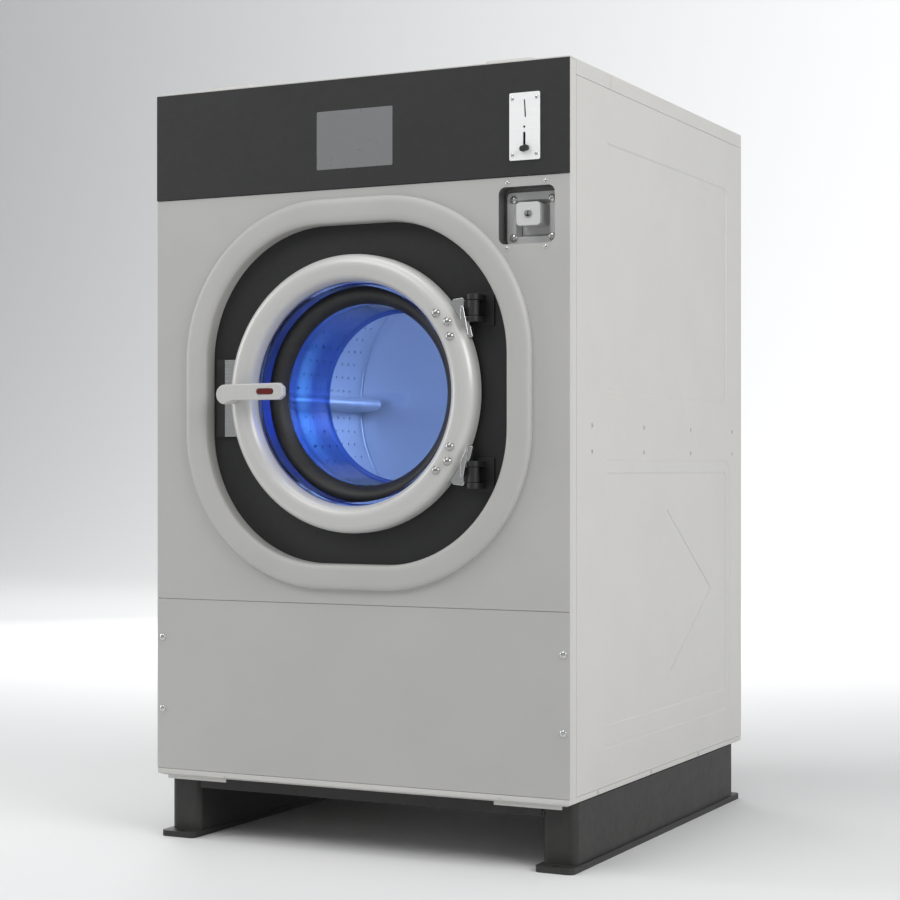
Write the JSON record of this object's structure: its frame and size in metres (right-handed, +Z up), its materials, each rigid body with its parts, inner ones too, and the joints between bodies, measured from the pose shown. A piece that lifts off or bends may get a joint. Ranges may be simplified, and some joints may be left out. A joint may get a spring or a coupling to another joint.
{
  "type": "washer-extractor",
  "caption": "Floor-bolted commercial washer-extractor with a round glass door, screen, coin unit with vault, steel drum and belt drive.",
  "frame": {"origin": "centre of the four floor bolts, on the floor plane under the foot plates", "axes": "+X to the right of someone facing the door, +Y from the door to the back, +Z up"},
  "size_m": [0.9224, 1.1326, 1.54],
  "materials": {
    "body_paint": "satin powder coat",
    "panel_steel": "fine satin",
    "fascia_dark": "fine matt",
    "recess_dark": "matt",
    "skid_black": "semi-matt",
    "frame_zinc": "matt",
    "satin_steel": "satin",
    "bright_steel": "bright",
    "white_plate": "gloss",
    "drum_steel": "satin",
    "vault_steel": "satin, darkened",
    "nut_steel": "bright",
    "blue_glass": "clear, tinted",
    "screen_grey": "satin glass",
    "black_rubber": "matt",
    "black_plastic": "matt",
    "white_plastic": "matt",
    "red_window": "gloss",
    "cast_grey": "painted",
    "motor_paint": "painted",
    "chrome_lock": "polished"
  },
  "bodies": {
    "cabinet": {"base_rails": "skid_black", "base_crossmembers": "skid_black", "floor_pan": "body_paint", "corner_posts": "body_paint", "frame_rails": "frame_zinc", "side_panel_left": "body_paint", "side_panel_right": "body_paint", "upper_front_panel": "panel_steel", "lower_front_panel": "panel_steel", "recess_panel": "recess_dark", "control_fascia": "fascia_dark", "touch_screen": "screen_grey", "coin_plate": "white_plate", "coin_mech": "black_plastic", "vault_pocket": "vault_steel", "vault_plate": "vault_steel", "vault_sleeve": "frame_zinc", "coin_chute": "black_plastic", "top_panel": "body_paint", "hatch_brackets": "bright_steel", "soap_hoppers": "white_plastic", "fill_pipes": "black_rubber", "rear_upper_panel": "body_paint", "rear_lower_panel": "body_paint", "outer_tub": "drum_steel", "tub_gasket": "black_rubber", "tub_cradles": "frame_zinc", "bearing_frame": "frame_zinc", "bearing_housing": "cast_grey", "bearings": "bright_steel", "shaft_seal": "black_rubber", "drive_belts": "black_rubber", "motor": "motor_paint", "motor_mount": "frame_zinc", "hinge_brackets": "recess_dark", "lock_housing": "black_plastic", "inlet_valves": "white_plastic", "drain_valve": "black_plastic", "drive_box": "frame_zinc", "panel_screws": "bright_steel"},
    "door": {"door_ring": "satin_steel", "door_clamp_ring": "satin_steel", "door_glass": "blue_glass", "door_trim_ring": "black_rubber", "door_nuts": "nut_steel", "hinge_arms": "bright_steel", "latch_plate": "bright_steel", "handle_bush": "black_plastic"},
    "handle": {"door_handle": "satin_steel", "handle_window": "red_window"},
    "drum": {"drum_shell": "drum_steel", "drum_lifters": "drum_steel", "drum_spider": "cast_grey", "drum_pulley": "cast_grey"},
    "motor_rotor": {"motor_rotor": "cast_grey"},
    "coin_lever": {"coin_lever": "black_plastic"},
    "coin_drawer": {"coin_drawer": "vault_steel"},
    "vault_lock": {"vault_lock": "chrome_lock"},
    "hatch_left": {"hatch_lid_left": "white_plastic"},
    "hatch_right": {"hatch_lid_right": "white_plastic"}
  },
  "joints": [
    {"name": "door_hinge", "type": "hinge", "parent": "cabinet", "child": "door", "pos_m": [0.268, -0.518, 0.904], "axis": [0, 0, 1], "range_deg": [0, 150]},
    {"name": "handle_turn", "type": "hinge", "parent": "door", "child": "handle", "pos_m": [-0.258, -0.55, 0.905], "axis": [0, 1, 0], "range_deg": [0, 60]},
    {"name": "drum_spin", "type": "hinge", "parent": "cabinet", "child": "drum", "pos_m": [0, 0, 0.904], "axis": [0, 1, 0], "continuous": true},
    {"name": "motor_spin", "type": "hinge", "parent": "cabinet", "child": "motor_rotor", "pos_m": [0, 0.4, 0.3], "axis": [0, 1, 0], "continuous": true},
    {"name": "coin_lever_slide", "type": "slide", "parent": "cabinet", "child": "coin_lever", "axis": [0, 0, 1], "range_m": [0, 0.026], "stiffness_N_per_m": 80, "springref_m": -0.01},
    {"name": "coin_drawer_slide", "type": "slide", "parent": "cabinet", "child": "coin_drawer", "axis": [0, -1, 0], "range_m": [0, 0.15]},
    {"name": "vault_lock_turn", "type": "hinge", "parent": "coin_drawer", "child": "vault_lock", "pos_m": [0.372, -0.49, 1.237], "axis": [0, 1, 0], "range_deg": [0, 90]},
    {"name": "hatch_left_hinge", "type": "hinge", "parent": "cabinet", "child": "hatch_left", "pos_m": [-0.312, -0.333, 1.532], "axis": [-1, 0, 0], "range_deg": [0, 100]},
    {"name": "hatch_right_hinge", "type": "hinge", "parent": "cabinet", "child": "hatch_right", "pos_m": [0.312, -0.333, 1.532], "axis": [-1, 0, 0], "range_deg": [0, 100]}
  ],
  "couplings": [
    {"joint": "motor_spin", "follows": "drum_spin", "ratio": 6}
  ]
}
